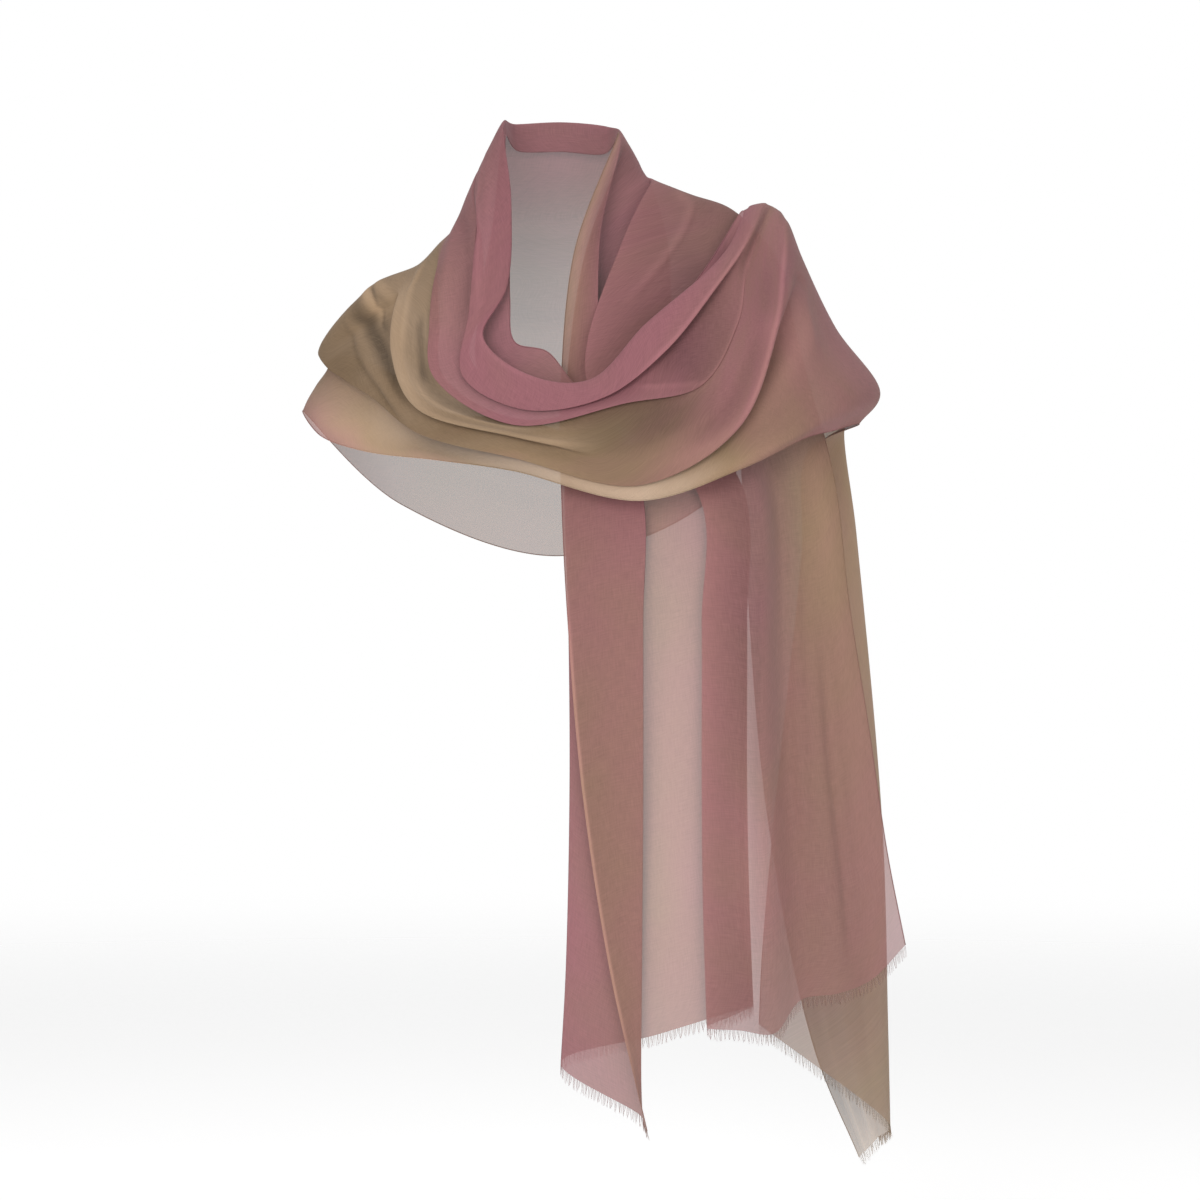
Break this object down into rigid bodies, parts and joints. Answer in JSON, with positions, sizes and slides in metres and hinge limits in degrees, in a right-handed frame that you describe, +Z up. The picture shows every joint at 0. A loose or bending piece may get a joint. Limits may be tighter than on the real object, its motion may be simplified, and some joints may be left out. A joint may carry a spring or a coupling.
{
  "type": "scarf",
  "caption": "Long sheer organza scarf in two shaded dyes, worn as a wrap: open cowl across the chest, drape over both shoulders, one fringed tail in front and one behind.",
  "frame": {"origin": "the nape: the inside of the cloth behind the wearer's neck, where the scarf hangs from", "axes": "+Z up along the hanging tails, +X to the right of a front view, -Y out of the front"},
  "size_m": [0.4844, 0.2701, 0.857],
  "materials": {
    "front_tail_flap": "sheer matt organza with a faint silky sheen",
    "front_tail_panel": "sheer matt organza with a faint silky sheen",
    "front_tail_side": "sheer matt organza with a faint silky sheen",
    "right_neck_strip": "sheer matt organza with a faint silky sheen",
    "right_shoulder_panel": "sheer matt organza with a faint silky sheen",
    "nape_band": "sheer matt organza with a faint silky sheen",
    "back_drape_upper": "sheer matt organza with a faint silky sheen",
    "back_drape_lower": "sheer matt organza with a faint silky sheen",
    "left_neck_folds": "sheer matt organza with a faint silky sheen",
    "left_shoulder_fold": "sheer matt organza with a faint silky sheen",
    "left_shoulder_hem": "sheer matt organza with a faint silky sheen",
    "cowl_roll": "sheer matt organza with a faint silky sheen",
    "cowl_second_fold": "sheer matt organza with a faint silky sheen",
    "cowl_third_fold": "sheer matt organza with a faint silky sheen",
    "cowl_outer_fold": "sheer matt organza with a faint silky sheen",
    "cowl_hem_band": "sheer matt organza with a faint silky sheen",
    "right_wing": "sheer matt organza with a faint silky sheen",
    "right_shoulder_turn": "sheer matt organza with a faint silky sheen",
    "right_wing_turn": "sheer matt organza with a faint silky sheen",
    "back_tail_pleats": "sheer matt organza with a faint silky sheen",
    "back_tail_front": "sheer matt organza with a faint silky sheen",
    "front_flap_fringe": "sheer matt organza with a faint silky sheen",
    "front_panel_fringe": "sheer matt organza with a faint silky sheen",
    "front_side_fringe": "sheer matt organza with a faint silky sheen",
    "back_pleats_fringe": "sheer matt organza with a faint silky sheen",
    "back_front_fringe": "sheer matt organza with a faint silky sheen"
  },
  "bodies": {
    "root": {"front_tail_flap": "front_tail_flap", "front_tail_panel": "front_tail_panel", "front_tail_side": "front_tail_side", "right_neck_strip": "right_neck_strip", "right_shoulder_panel": "right_shoulder_panel", "nape_band": "nape_band", "back_drape_upper": "back_drape_upper", "back_drape_lower": "back_drape_lower", "left_neck_folds": "left_neck_folds", "left_shoulder_fold": "left_shoulder_fold", "left_shoulder_hem": "left_shoulder_hem", "cowl_roll": "cowl_roll", "cowl_second_fold": "cowl_second_fold", "cowl_third_fold": "cowl_third_fold", "cowl_outer_fold": "cowl_outer_fold", "cowl_hem_band": "cowl_hem_band", "right_wing": "right_wing", "right_shoulder_turn": "right_shoulder_turn", "right_wing_turn": "right_wing_turn", "back_tail_pleats": "back_tail_pleats", "back_tail_front": "back_tail_front", "front_flap_fringe": "front_flap_fringe", "front_panel_fringe": "front_panel_fringe", "front_side_fringe": "front_side_fringe", "back_pleats_fringe": "back_pleats_fringe", "back_front_fringe": "back_front_fringe"}
  },
  "joints": []
}
